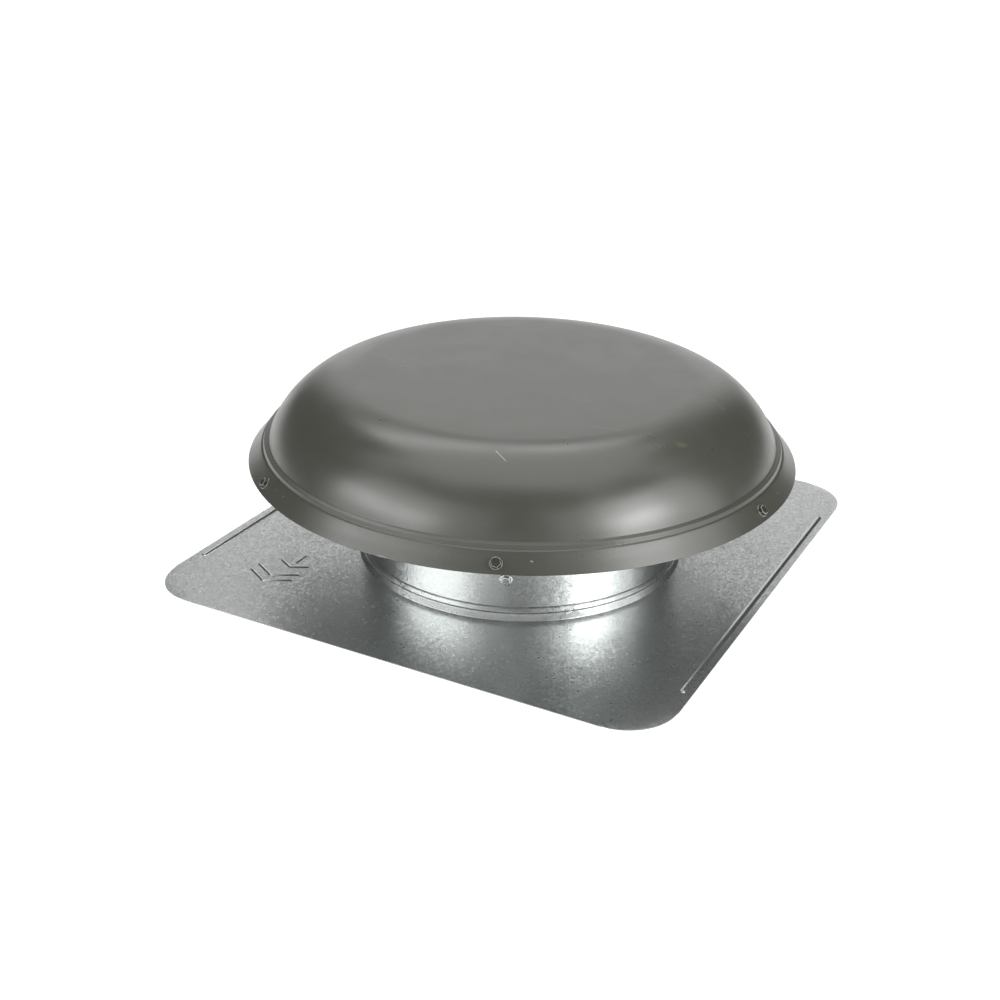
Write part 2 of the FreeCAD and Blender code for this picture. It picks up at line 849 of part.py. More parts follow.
def make_wing():
    root, tip = blade_disc_r - wing_root_overlap, blade_tip_r + wing_trim
    sections = []
    for share in (0, 0.3, 0.65, 1):
        turn = math.sin(math.radians(90 * min(1, share * 1.6)))
        chord = wing_root_chord + (wing_tip_chord - wing_root_chord) * share
        pitch = wing_root_slope + (wing_tip_slope - wing_root_slope) * turn
        camber = wing_root_camber + (wing_tip_camber - wing_root_camber) * share
        sections.append(wing_section(root + (tip - root) * share, chord, pitch, camber))
    wing = Part.makeLoft(sections, True, False)
    half, corner, end = wing_tip_half_w, blade_corner, blade_tip_r
    outline = [(0, -half), (end - corner, -half), (end, -half + corner),
               (end, half - corner), (end - corner, half), (0, half)]
    points = [Vector(x, y, 0) for x, y in outline]
    trim = Part.Face(Part.makePolygon(points + [points[0]])).extrude(Vector(0, 0, hood_top_z))
    return wing.common(trim).common(disc(end, 0, hood_top_z))


def make_fan_blade():
    centre = disc(blade_disc_r, blade_disc_z, blade_disc_z + blade_t)
    blade = joined([centre] + around(make_wing(), blade_count, 0))
    blade = blade.cut(disc(hub_r + fit_gap, 0, hood_top_z))
    return blade.cut(hub_rivet_holes())


def hub_rivet_holes():
    hole = disc(rivet_r + lay_gap, 0, hood_top_z)
    hole.translate(Vector(hub_rivet_circle_r, 0, 0))
    return around(hole, hub_rivet_count, hub_rivet_azimuth)


def make_blade_hub():
    flange_low = blade_disc_z - hub_flange_t - lay_gap
    hub = joined([disc(hub_r, hub_low_z, blade_disc_z + blade_t + hub_nose),
                  disc(hub_flange_r, flange_low, flange_low + hub_flange_t)])
    hub = hub.cut(disc(shaft_r + hub_bore_gap, 0, hood_top_z))
    hub = hub.cut(radial_hole(set_screw_r + lay_gap, 0, set_screw_z, 0, hub_r + set_screw_r))
    return hub.cut(hub_rivet_holes())


def make_hub_rivets():
    low = blade_disc_z - lay_gap - hub_flange_t
    high = blade_disc_z + blade_t
    rivet = joined([disc(rivet_r, low, high), disc(rivet_head_r, high, high + rivet_head_h),
                    disc(rivet_head_r, low - rivet_head_h, low)])
    rivet.translate(Vector(hub_rivet_circle_r, 0, 0))
    return Part.makeCompound(around(rivet, hub_rivet_count, hub_rivet_azimuth))


def make_hub_set_screw():
    length = hub_r - shaft_r - lay_gap - set_screw_inset
    screw = Part.makeCylinder(set_screw_r, length)
    socket = hexagon(set_screw_socket, 2 * set_screw_socket_depth)
    socket.translate(Vector(0, 0, length - set_screw_socket_depth))
    return aimed(screw.cut(socket), polar(shaft_r + lay_gap, 0, set_screw_z), polar(1, 0))


# Junction box and its lid

def flange_screw_places():
    x = box_half_x + box_flange_w / 2
    return [Vector(-x, box_y_mid, 0), Vector(x, box_y_mid, 0)]


def make_box_lid():
    lid = block(-box_half_x - box_flange_w, box_half_x + box_flange_w,
                box_y_in, box_y_out, box_top_z, lid_top_z)
    path = [(box_y_mid, lid_top_z), (lid_face, lid_top_z), (lid_face, bracket_foot_z)]
    tab = widened(sheet_face(path, [lid_bend_r], -box_t), lid_tab_w)
    tab.rotate(here, axis_z, 90)
    lid = joined([lid, tab])
    lid = lid.cut(radial_hole(screw_r + hole_gap, 90, throat_screw_z,
                              throat_r - screw_len, throat_r))
    for place in flange_screw_places():
        hole = disc(screw_r + hole_gap, box_top_z - 1, lid_top_z + 1)
        hole.translate(place)
        lid = lid.cut(hole)
    return lid


def make_junction_box():
    top = box_top_z - lay_gap
    shell = block(-box_half_x, box_half_x, box_y_in, box_y_out, box_low_z, top)
    hollow = block(-box_half_x + box_t, box_half_x - box_t, box_y_in + box_t,
                   box_y_out - box_t, box_low_z + box_t, top + 1)
    reach = box_half_x + box_flange_w
    flanges = [block(-reach, -box_half_x + box_t, box_y_mid - box_flange_half_y,
                     box_y_mid + box_flange_half_y, top - box_t, top),
               block(box_half_x - box_t, reach, box_y_mid - box_flange_half_y,
                     box_y_mid + box_flange_half_y, top - box_t, top)]
    box = joined([shell.cut(hollow)] + flanges)
    cuts = []
    for place in flange_screw_places():
        hole = disc(screw_r + hole_gap, top - box_t - 1, top + 1)
        hole.translate(place)
        cuts.append(hole)
    knockout = disc(knockout_r, box_low_z - 1, box_low_z + box_t + 1)
    knockout.translate(Vector(knockout_x, box_y_mid, 0))
    stem = disc(stem_r + stem_gap, box_low_z - 1, box_low_z + box_t + 1)
    stem.translate(Vector(dial_x, box_y_mid, 0))
    lead = Part.makeCylinder(bushing_r, 2 * box_t,
                             Vector(lead_x_box, box_y_in - box_t / 2, lead_z_box), Vector(0, 1, 0))
    return box.cut(cuts + [knockout, stem, lead])


def make_box_screws():
    screw = hex_washer_screw(box_screw_len)
    screws = []
    for place in flange_screw_places():
        spot = Vector(place.x, place.y, box_top_z - box_t - 2 * lay_gap)
        screws.append(aimed(screw, spot, Vector(0, 0, -1)))
    return Part.makeCompound(screws)


def make_thermostat_body():
    low = box_low_z + box_t + lay_gap
    body = block(dial_x - stat_w / 2 + stat_side_trim, dial_x + stat_w / 2,
                 box_y_mid - stat_w / 2, box_y_mid + stat_w / 2, low, low + stat_h)
    sensor = disc(sensor_r, low + stat_h, low + stat_h + sensor_h)
    sensor.translate(Vector(dial_x, box_y_mid, 0))
    bore = disc(stem_r + running_gap, low - 1, low + stem_len + 1)
    bore.translate(Vector(dial_x, box_y_mid, 0))
    return joined([body, sensor]).cut(bore)


def make_thermostat_dial():
    high = box_low_z - dial_gap
    knob = disc(dial_r, high - dial_h, high)
    bevel = [e for e in knob.Edges if on_top(e, high - dial_h)]
    knob = knob.makeChamfer(dial_bevel, bevel)
    flute = disc(dial_flute_r, high - dial_h - 1, high - dial_skirt_h)
    flute.translate(Vector(dial_r + dial_flute_out, 0, 0))
    flutes = around(flute, dial_flute_count, 180 / dial_flute_count)
    pointer = block(pointer_in_r, dial_r + 1, -pointer_w / 2, pointer_w / 2,
                    high - dial_h - 1, high - dial_h + pointer_depth)
    stem = disc(stem_r, high - 1, box_low_z + box_t + stem_len)
    dial = joined([knob.cut(flutes + [pointer]), stem])
    dial.translate(Vector(dial_x, box_y_mid, 0))
    return dial


def make_terminal_block():
    back = box_y_out - box_t - lay_gap
    low_z = box_low_z + terminal_lift
    base = block(knockout_x - terminal_w / 2, knockout_x + terminal_w / 2,
                 back - terminal_d, back, low_z, low_z + terminal_h)
    pockets = []
    for x in terminal_places():
        pocket = block(x - pocket_half_w, x + pocket_half_w, back - terminal_d - 1,
                       back - terminal_d + pocket_depth,
                       low_z + pocket_inset, low_z + terminal_h - pocket_inset)
        pockets.append(pocket)
    return base.cut(pockets)


def terminal_places():
    pitch = terminal_w / terminal_way_count
    return [knockout_x + (k - (terminal_way_count - 1) / 2) * pitch for k in range(terminal_way_count)]


def make_terminal_screws():
    y = box_y_out - box_t - 2 * lay_gap - terminal_d + pocket_depth
    z = box_low_z + terminal_lift + terminal_h / 2
    head = Part.makeCylinder(terminal_screw_r, terminal_screw_h)
    slot = block(-terminal_screw_r - 1, terminal_screw_r + 1, -driver_slot_w / 2,
                 driver_slot_w / 2, terminal_screw_h / 2, terminal_screw_h + 1)
    head = head.cut(slot)
    screws = [aimed(head, Vector(x, y, z), Vector(0, -1, 0)) for x in terminal_places()]
    return Part.makeCompound(screws)


# Motor lead between the motor and the box

def lead_points():
    start = Vector(0, shell_r_in - lead_tail, lead_z_motor)
    first = Vector(0, motor_r + lead_run_motor, lead_z_motor)
    last = Vector(lead_x_box, box_y_in - lead_run_box, lead_z_box)
    end = Vector(lead_x_box, box_y_in + box_t + lead_tail, lead_z_box)
    return [start, first, last, end]


def lead_edges():
    """Straight runs joined by tangent arcs as large as the runs allow."""
    points = lead_points()
    edges = []
    start = points[0]
    for before, corner, after in zip(points, points[1:], points[2:]):
        back, ahead = before - corner, after - corner
        shorter = min(back.Length, ahead.Length)
        back, ahead = back.normalize(), ahead.normalize()
        half_turn = (math.pi - back.getAngle(ahead)) / 2
        reach = lead_bend_share * shorter
        radius = reach / math.tan(half_turn)
        print("lead bend radius", round(radius, 1))
        middle = (back + ahead).normalize()
        centre = corner + middle * (radius / math.cos(half_turn))
        first, last = corner + back * reach, corner + ahead * reach
        edges.append(Part.makeLine(start, first))
        edges.append(Part.Arc(first, centre - middle * radius, last).toShape())
        start = last
    edges.append(Part.makeLine(start, points[-1]))
    return edges


def make_motor_lead():
    wire = Part.Wire(lead_edges())
    circle = Part.Circle(lead_points()[0], Vector(0, 1, 0), lead_r).toShape()
    lead = wire.makePipeShell([Part.Wire(circle)], True, True)
    print("lead volume share", round(lead.Volume / (math.pi * lead_r ** 2 * wire.Length), 4))
    return lead


def lead_bushing(wall_t):
    """Flanged ring through a wall whose outer face is z = 0."""
    body = disc(bushing_r - lay_gap, -wall_t - bushing_lip, 0)
    outer = disc(bushing_flange_r, lay_gap, bushing_lip)
    neck = disc(bushing_r - lay_gap, 0, lay_gap)
    ring = joined([body, neck, outer])
    return ring.cut(disc(lead_r + lay_gap, -wall_t - bushing_lip - 1, bushing_lip + 1))


def make_lead_bushings():
    at_motor = aimed(lead_bushing(shell_t), Vector(0, motor_r, lead_z_motor), Vector(0, 1, 0))
    at_box = aimed(lead_bushing(box_t), Vector(lead_x_box, box_y_in, lead_z_box), Vector(0, -1, 0))
    return Part.makeCompound([at_motor, at_box])


def main():
    os.makedirs("parts", exist_ok=True)
    nodes = {
        "base_flashing": make_base_flashing(),
        "throat": make_throat(),
        "hood": make_hood(),
        "hood_screws": make_hood_screws(),
        "throat_screws": make_throat_screws(),
        "guard_screen": make_guard_screen(),
        "screen_rivets": make_screen_rivets(),
        "motor_mount": make_motor_mount(),
        "motor_shell": make_motor_shell(),
        "lower_end_bell": make_lower_bell(),
        "upper_end_bell": make_upper_bell(),
        "lower_bearing": make_lower_bearing(),
        "upper_bearing": make_upper_bearing(),
        "stator_core": make_stator_core(),
        "stator_windings": make_stator_windings(),
        "rotor_core": make_rotor_core(),
        "motor_shaft": make_motor_shaft(),
        "thrust_washers": make_thrust_washers(),
        "tie_bolts": make_tie_bolts(),
        "tie_bolt_nuts": make_tie_bolt_nuts(),
        "fan_blade": make_fan_blade(),
        "blade_hub": make_blade_hub(),
        "hub_rivets": make_hub_rivets(),
        "hub_set_screw": make_hub_set_screw(),
        "box_lid": make_box_lid(),
        "junction_box": make_junction_box(),
        "box_screws": make_box_screws(),
        "thermostat_body": make_thermostat_body(),
        "thermostat_dial": make_thermostat_dial(),
        "terminal_block": make_terminal_block(),
        "terminal_screws": make_terminal_screws(),
        "motor_lead": make_motor_lead(),
        "lead_bushings": make_lead_bushings(),
    }
    bracket = make_hood_bracket()
    for k, azimuth in enumerate(bracket_azimuths(), 1):
        nodes["hood_bracket_%d" % k] = turned(bracket, azimuth)
    for name, shape in nodes.items():
        box = shape.BoundBox
        print("%-18s solids %d valid %s volume %.1f z %.2f to %.2f" % (
            name, len(shape.Solids), shape.isValid(), shape.Volume, box.ZMin, box.ZMax))
        shape.exportStep("parts/%s.step" % name)


main()
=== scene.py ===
import math

import bmesh
import bpy
from mathutils import Matrix, Vector


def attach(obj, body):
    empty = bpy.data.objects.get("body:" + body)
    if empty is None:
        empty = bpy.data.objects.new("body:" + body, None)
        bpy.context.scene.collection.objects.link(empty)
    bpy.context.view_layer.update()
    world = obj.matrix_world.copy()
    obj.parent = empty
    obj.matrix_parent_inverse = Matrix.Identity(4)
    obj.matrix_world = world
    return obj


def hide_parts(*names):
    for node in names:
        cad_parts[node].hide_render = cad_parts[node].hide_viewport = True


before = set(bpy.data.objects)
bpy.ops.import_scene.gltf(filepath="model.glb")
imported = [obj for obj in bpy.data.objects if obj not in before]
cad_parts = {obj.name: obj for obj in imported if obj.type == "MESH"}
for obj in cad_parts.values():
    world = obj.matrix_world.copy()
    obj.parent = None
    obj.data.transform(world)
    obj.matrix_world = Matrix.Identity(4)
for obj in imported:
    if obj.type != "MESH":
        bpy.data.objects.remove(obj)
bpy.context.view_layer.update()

mm = 0.001
origin = Vector((0, 0, 0))
zAxis = Vector((0, 0, 1))
mostNoise = (0.3, 0.7)  # the range that most of a noise pattern's values lie in
print("frame loaded,", len(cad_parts), "nodes")


# mesh helpers, in millimetres until makePiece scales them

def polar(radius, azimuth, z=0.0):
    a = math.radians(azimuth)
    return Vector((radius * math.cos(a), radius * math.sin(a), z))


def roundedPath(points, radii, turnPerStep=6.0, fewest=3):
    # an open path in the XZ plane, each inner corner rounded by its radius
    flat = [Vector((x, 0, z)) for x, z in points]
    path = [flat[0]]
    for i, radius in enumerate(radii, 1):
        corner = flat[i]
        back = (flat[i - 1] - corner).normalized()
        ahead = (flat[i + 1] - corner).normalized()
        half = back.angle(ahead) / 2
        reach = radius / math.tan(half)
        centre = corner + (back + ahead).normalized() * (radius / math.sin(half))
        first = (corner + back * reach - centre).normalized()
        last = (corner + ahead * reach - centre).normalized()
        steps = max(fewest, round(math.degrees(first.angle(last)) / turnPerStep))
        path += [centre + first.slerp(last, k / steps) * radius for k in range(steps + 1)]
    path.append(flat[-1])
    return path


def wire(bm, points, closed=False):
    verts = [bm.verts.new(p) for p in points]
    pairs = list(zip(verts, verts[1:])) + ([(verts[-1], verts[0])] if closed else [])
    return [bm.edges.new(pair) for pair in pairs]


def spinWire(bm, edges, steps, angle=360.0):
    verts = list({v for e in edges for v in e.verts})
    bmesh.ops.spin(bm, geom=verts + edges, cent=origin, axis=zAxis, dvec=origin,
                   angle=math.radians(angle), steps=steps, use_merge=angle == 360.0)


def tidyFaces(bm, gap=1e-3):
    bmesh.ops.remove_doubles(bm, verts=bm.verts, dist=gap)
    bmesh.ops.dissolve_degenerate(bm, edges=bm.edges, dist=gap)
    bmesh.ops.recalc_face_normals(bm, faces=bm.faces)


def giveThickness(bm, thickness):
    bmesh.ops.solidify(bm, geom=bm.faces, thickness=thickness)


def makePiece(name, bm, material, body="base", stands=(), sharp=32.0):
    bmesh.ops.scale(bm, vec=(mm, mm, mm), verts=bm.verts)
    mesh = bpy.data.meshes.new(name)
    bm.to_mesh(mesh)
    bm.free()
    mesh.polygons.foreach_set("use_smooth", [True] * len(mesh.polygons))
    mesh.set_sharp_from_angle(angle=math.radians(sharp))
    mesh.materials.append(material)
    piece = bpy.data.objects.new(name, mesh)
    bpy.context.scene.collection.objects.link(piece)
    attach(piece, body)
    if stands:
        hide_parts(*stands)
    return piece


# material helpers

def tone(r, g, b):
    # a colour named by its screen values, 0 to 255, turned to linear light
    def linear(c):
        c = c / 255
        return c / 12.92 if c <= 0.04045 else ((c + 0.055) / 1.055) ** 2.4
    return (linear(r), linear(g), linear(b), 1.0)


def newFinish(name):
    material = bpy.data.materials.new(name)
    material.use_nodes = True
    tree = material.node_tree
    tree.nodes.clear()
    output = tree.nodes.new("ShaderNodeOutputMaterial")
    shader = tree.nodes.new("ShaderNodeBsdfPrincipled")
    tree.links.new(shader.outputs["BSDF"], output.inputs["Surface"])
    return material, tree, shader


def addNode(tree, kind, sockets=None, **settings):
    node = tree.nodes.new(kind)
    for key, value in settings.items():
        setattr(node, key, value)
    for socket, value in (sockets or {}).items():
        if isinstance(value, bpy.types.NodeSocket):
            tree.links.new(value, node.inputs[socket])
        else:
            node.inputs[socket].default_value = value
    return node


def objectCoords(tree, scale=(1, 1, 1)):
    coords = addNode(tree, "ShaderNodeTexCoord").outputs["Object"]
    if scale == (1, 1, 1):
        return coords
    return addNode(tree, "ShaderNodeMapping", {"Vector": coords, "Scale": scale}).outputs["Vector"]


def noise(tree, coords, scale, detail=3.0, roughness=0.5, distortion=0.0):
    node = addNode(tree, "ShaderNodeTexNoise", {
        "Vector": coords, "Scale": scale, "Detail": detail, "Roughness": roughness,
        "Distortion": distortion})
    return node.outputs["Fac"]


def remap(tree, value, low, high, toLow, toHigh):
    node = addNode(tree, "ShaderNodeMapRange", {
        "Value": value, "From Min": low, "From Max": high, "To Min": toLow, "To Max": toHigh})
    return node.outputs["Result"]


def maths(tree, operation, a, b=0.0, clamp=False):
    node = addNode(tree, "ShaderNodeMath", {0: a, 1: b}, operation=operation, use_clamp=clamp)
    return node.outputs["Value"]


def blendTones(tree, factor, a, b):
    node = addNode(tree, "ShaderNodeMix", {0: factor, 6: a, 7: b}, data_type="RGBA")
    return node.outputs[2]


def addBump(tree, shader, height, strength, distance, under=None):
    sockets = {"Height": height, "Strength": strength, "Distance": distance}
    if under is not None:
        sockets["Normal"] = under
    bump = addNode(tree, "ShaderNodeBump", sockets).outputs["Normal"]
    tree.links.new(bump, shader.inputs["Normal"])
    return bump


def vectorMaths(tree, operation, a, b=None, scale=None):
    sockets = {0: a}
    if b is not None:
        sockets[1] = b
    if scale is not None:
        sockets["Scale"] = scale
    return addNode(tree, "ShaderNodeVectorMath", sockets, operation=operation).outputs["Vector"]


def lineMask(tree, coords, start, end, width, fade):
    # 1 on the line from start to end, given in millimetres, and 0 outside its width
    a, b = Vector(start) * mm, Vector(end) * mm
    length, ahead = (b - a).length, (b - a).normalized()
    offset = vectorMaths(tree, "SUBTRACT", coords, a)
    along = addNode(tree, "ShaderNodeVectorMath", {0: offset, 1: ahead},
                    operation="DOT_PRODUCT").outputs["Value"]
    along = addNode(tree, "ShaderNodeClamp", {"Value": along, "Max": length}).outputs["Result"]
    foot = vectorMaths(tree, "SCALE", ahead, scale=along)
    gap = addNode(tree, "ShaderNodeVectorMath", {0: offset, 1: foot},
                  operation="DISTANCE").outputs["Value"]
    return remap(tree, gap, width * mm, (width + fade) * mm, 1.0, 0.0)


# finishes

hoodFinish = {
    "paint": tone(69, 70, 63), "roughness": (0.27, 0.33), "gloss": 1.0, "glossScale": 26.0,
    "mottle": 0.06, "mottleScale": 9.0, "scratch": tone(188, 184, 172),
    "smudge": tone(120, 112, 78), "speckScale": 620.0, "speckFrom": (0.77, 0.80),
    "speckShare": 0.18, "breakScale": 420.0, "breakFrom": (0.34, 0.52), "breakKeep": 0.25,
    "peelScale": 900.0, "peel": (0.05, 0.0002), "dentScale": 7.0, "dent": (0.25, 0.0012),
    "scratchCore": 0.4, "smudgeCore": 0.3, "smudgeFade": 2.0,
    "scratches": [  # start, end, half width, strength
        ((71.1, -196.4, 203.8), (86.0, -204.2, 199.6), 0.45, 0.85),
        ((203.7, 40.2, 204.1), (221.5, 29.7, 198.8), 0.35, 0.45),
        ((221.5, 29.7, 198.8), (251.4, 27.1, 179.9), 0.25, 0.22),
        ((128.4, -99.4, 207.3), (159.6, -96.0, 207.2), 0.4, 0.25),
        ((141.7, -256.6, 129.4), (143.1, -256.1, 129.0), 0.6, 0.7),
        ((293.7, 7.5, 128.5), (294.0, 8.9, 128.2), 0.6, 0.8),
        ((-156.5, -247.2, 130.0), (-154.5, -248.4, 130.1), 0.5, 0.5),
        ((-141.7, -255.8, 130.1), (-140.6, -256.5, 130.1), 0.5, 0.6),
        ((1.1, -301.5, 119.3), (10.0, -301.4, 119.2), 0.5, 0.45)],
    "smudgeAt": ((214.1, -76.9, 197.0), (217.7, -73.0, 195.9), 2.2, 0.35)}


def shades(base, low, high):
    # the base colour made darker and lighter
    return (tuple(c * low for c in base[:3]) + (1.0,),
            tuple(min(1, c * high) for c in base[:3]) + (1.0,))


def makeHoodPaint(name, s):
    material, tree, shader = newFinish(name)
    coords = objectCoords(tree)
    mottle = remap(tree, noise(tree, coords, s["mottleScale"], 4.0), *mostNoise, 0.0, 1.0)
    colour = blendTones(tree, mottle, *shades(s["paint"], 1 - s["mottle"], 1 + s["mottle"]))
    speck = remap(tree, noise(tree, coords, s["speckScale"], 1.0), *s["speckFrom"],
                  0.0, s["speckShare"])
    colour = blendTones(tree, speck, colour, s["scratch"])
    breaks = remap(tree, noise(tree, coords, s["breakScale"], 2.0), *s["breakFrom"],
                   s["breakKeep"], 1.0)
    for start, end, width, strength in s["scratches"]:
        mask = lineMask(tree, coords, start, end, width * s["scratchCore"], width)
        mask = maths(tree, "MULTIPLY", maths(tree, "MULTIPLY", mask, strength), breaks)
        colour = blendTones(tree, mask, colour, s["scratch"])
    start, end, width, strength = s["smudgeAt"]
    mask = lineMask(tree, coords, start, end, width * s["smudgeCore"], width * s["smudgeFade"])
    colour = blendTones(tree, maths(tree, "MULTIPLY", mask, strength), colour, s["smudge"])
    tree.links.new(colour, shader.inputs["Base Color"])
    rough = remap(tree, noise(tree, coords, s["glossScale"], 4.0), *mostNoise, *s["roughness"])
    tree.links.new(rough, shader.inputs["Roughness"])
    shader.inputs["Specular IOR Level"].default_value = s["gloss"]
    peel = addBump(tree, shader, noise(tree, coords, s["peelScale"], 2.0), *s["peel"])
    addBump(tree, shader, noise(tree, coords, s["dentScale"], 2.0), *s["dent"], peel)
    return material


sheetFinish = {
    "base": tone(209, 212, 211), "spread": (0.88, 1.08), "spangle": 560.0, "facet": 0.09,
    "roughness": (0.27, 0.32), "warpScale": 0.7, "warpReach": 0.5, "cellShare": 0.7,
    "cloudScale": 14.0, "wave": 0.3, "waveScale": 6.0, "waveDepth": 0.002}
throatFinish = dict(sheetFinish, spread=(0.88, 1.07), facet=0.08, roughness=(0.28, 0.33),
                    wave=0.25)


def makeGalvanised(name, s):
    # each spangle cell has its own tone and tips the sheet's normal a little its own way
    material, tree, shader = newFinish(name)
    coords = objectCoords(tree)
    warp = addNode(tree, "ShaderNodeTexNoise", {
        "Vector": coords, "Scale": s["spangle"] * s["warpScale"], "Detail": 3.0}).outputs["Color"]
    offset = vectorMaths(tree, "SCALE", warp, scale=s["warpReach"] / s["spangle"])
    bent = vectorMaths(tree, "ADD", coords, offset)
    cells = addNode(tree, "ShaderNodeTexVoronoi", {"Vector": bent, "Scale": s["spangle"],
                                                   "Randomness": 1.0}).outputs["Color"]
    grain = addNode(tree, "ShaderNodeSeparateColor", {"Color": cells}).outputs["Red"]
    clouds = noise(tree, coords, s["cloudScale"], 4.0)
    mix = maths(tree, "ADD", maths(tree, "MULTIPLY", grain, s["cellShare"]),
                maths(tree, "MULTIPLY", clouds, 1 - s["cellShare"]))
    colour = blendTones(tree, mix, *shades(s["base"], *s["spread"]))
    tree.links.new(colour, shader.inputs["Base Color"])
    tree.links.new(remap(tree, mix, 0.1, 0.9, *s["roughness"]), shader.inputs["Roughness"])
    shader.inputs["Metallic"].default_value = 1.0
    lean = vectorMaths(tree, "SUBTRACT", cells, (0.5, 0.5, 0.5))
    lean = vectorMaths(tree, "SCALE", lean, scale=s["facet"])
    normal = addNode(tree, "ShaderNodeNewGeometry").outputs["Normal"]
    tipped = vectorMaths(tree, "NORMALIZE", vectorMaths(tree, "ADD", normal, lean))
    sheetWave = noise(tree, coords, s["waveScale"], 2.0)
    addBump(tree, shader, sheetWave, s["wave"], s["waveDepth"], tipped)
    return material


grainShape = {
    "detail": 5.0, "lacing": 0.6, "spread": (0.8, 1.15), "roughSpread": (0.8, 1.25),
    "bumpGain": 10.0, "bumpDepth": 0.0001}


def makeMetal(name, base, rough, scale=60.0, stretch=(1, 1, 1), bump=0.03, metallic=1.0):
    s = grainShape
    material, tree, shader = newFinish(name)
    grain = noise(tree, objectCoords(tree, stretch), scale, s["detail"], s["lacing"])
    colour = blendTones(tree, remap(tree, grain, *mostNoise, 0.0, 1.0), *shades(base, *s["spread"]))
    tree.links.new(colour, shader.inputs["Base Color"])
    low, high = (rough * share for share in s["roughSpread"])
    tree.links.new(remap(tree, grain, *mostNoise, low, high), shader.inputs["Roughness"])
    shader.inputs["Metallic"].default_value = metallic
    addBump(tree, shader, grain, bump * s["bumpGain"], s["bumpDepth"])
    return material


# the lighter bare edge colour is rubbed-through paint and also a painted highlight on the screw
# bevels
screwFinish = {
    "paint": tone(52, 52, 46), "bareAndGlint": tone(150, 147, 138), "gloss": 0.9, "roughness": (0.2, 0.3),
    "rubAndGlintScale": 500.0, "rubAndGlintFrom": (0.3, 0.6), "rubAndGlintKeep": 0.4, "grainScale": 800.0,
    "bump": (0.1, 0.0001)}


def makeScrewPaint(name, s):
    # painted head, rubbed through along its edges; the lighter edge colour is wear and also a
    # painted highlight along the bevels
    material, tree, shader = newFinish(name)
    coords = objectCoords(tree)
    # mask of the eased edges, where the lighter colour stands for wear and a painted highlight
    edge = addNode(tree, "ShaderNodeAttribute", attribute_name="wearAndGlint").outputs["Fac"]
    rubbedAndGlint = remap(tree, noise(tree, coords, s["rubAndGlintScale"], 2.0), *s["rubAndGlintFrom"], s["rubAndGlintKeep"], 1.0)
    rubbedAndGlint = maths(tree, "MULTIPLY", edge, rubbedAndGlint)
    tree.links.new(blendTones(tree, rubbedAndGlint, s["paint"], s["bareAndGlint"]), shader.inputs["Base Color"])
    grain = noise(tree, coords, s["grainScale"], 3.0)
    tree.links.new(remap(tree, grain, *mostNoise, *s["roughness"]), shader.inputs["Roughness"])
    shader.inputs["Specular IOR Level"].default_value = s["gloss"]
    addBump(tree, shader, grain, *s["bump"])
    return material


hoodPaint = makeHoodPaint("hoodPaint", hoodFinish)
galvanised = makeGalvanised("galvanised", sheetFinish)
throatSheet = makeGalvanised("throatSheet", throatFinish)
zincPlate = makeMetal("zincPlate", tone(214, 216, 218), 0.22, 300.0)
screwPaint = makeScrewPaint("screwPaint", screwFinish)
motorPaint = makeMetal("motorPaint", tone(40, 41, 43), 0.42, 300.0, metallic=0.0)
castAluminium = makeMetal("castAluminium", tone(176, 178, 180), 0.5, 500.0, bump=0.08)
bladeAluminium = makeMetal("bladeAluminium", tone(205, 207, 209), 0.3, 40.0, (1, 1, 0.2))
brightSteel = makeMetal("brightSteel", tone(190, 190, 190), 0.22, 90.0, (1, 1, 14))
coreSteel = makeMetal("coreSteel", tone(110, 108, 106), 0.45, 30.0, (1, 1, 60), bump=0.1)
copperWire = makeMetal("copperWire", tone(176, 96, 44), 0.3, 60.0, (1, 1, 26), bump=0.12)
leadJacket = makeMetal("leadJacket", tone(34, 34, 35), 0.5, 350.0, metallic=0.0)
blackRubber = makeMetal("blackRubber", tone(24, 24, 24), 0.7, 350.0, metallic=0.0)
caseMoulding = makeMetal("caseMoulding", tone(48, 46, 44), 0.48, 420.0, metallic=0.0)
dialMoulding = makeMetal("dialMoulding", tone(214, 208, 190), 0.42, 380.0, metallic=0.0)
print("finishes made")


# hood

hoodSizes = {
    "rimRadius": 302.0, "rimHeight": 118.7, "topHeight": 207.3, "flatRadius": 182.0,
    "shoulderRadius": 105.2, "wallSlope": 66.0, "skirtSlope": 50.2, "skirtWidth": 14.6,
    "skirtHollow": 0.22, "dropLean": 0.7, "stepWidth": 2.6, "stepFall": 0.7, "beadRise": 4.1,
    "ledgeWidth": 6.6, "ledgeFall": 1.4, "bends": (105.2, 1.6, 1.0, 0.9, 3.0, 200.0),
    "thickness": 0.9, "steps": 288, "turnPerStep": 3.0, "flatSteps": 8}


def meet(a, aSlope, b, c):
    # where the falling line from a meets the line b-c, both in radius and height
    ux, uz = math.cos(math.radians(aSlope)), -math.sin(math.radians(aSlope))
    vx, vz = c[0] - b[0], c[1] - b[1]
    share = ((b[0] - a[0]) * vz - (b[1] - a[1]) * vx) / (ux * vz - uz * vx)
    return (a[0] + share * ux, a[1] + share * uz)


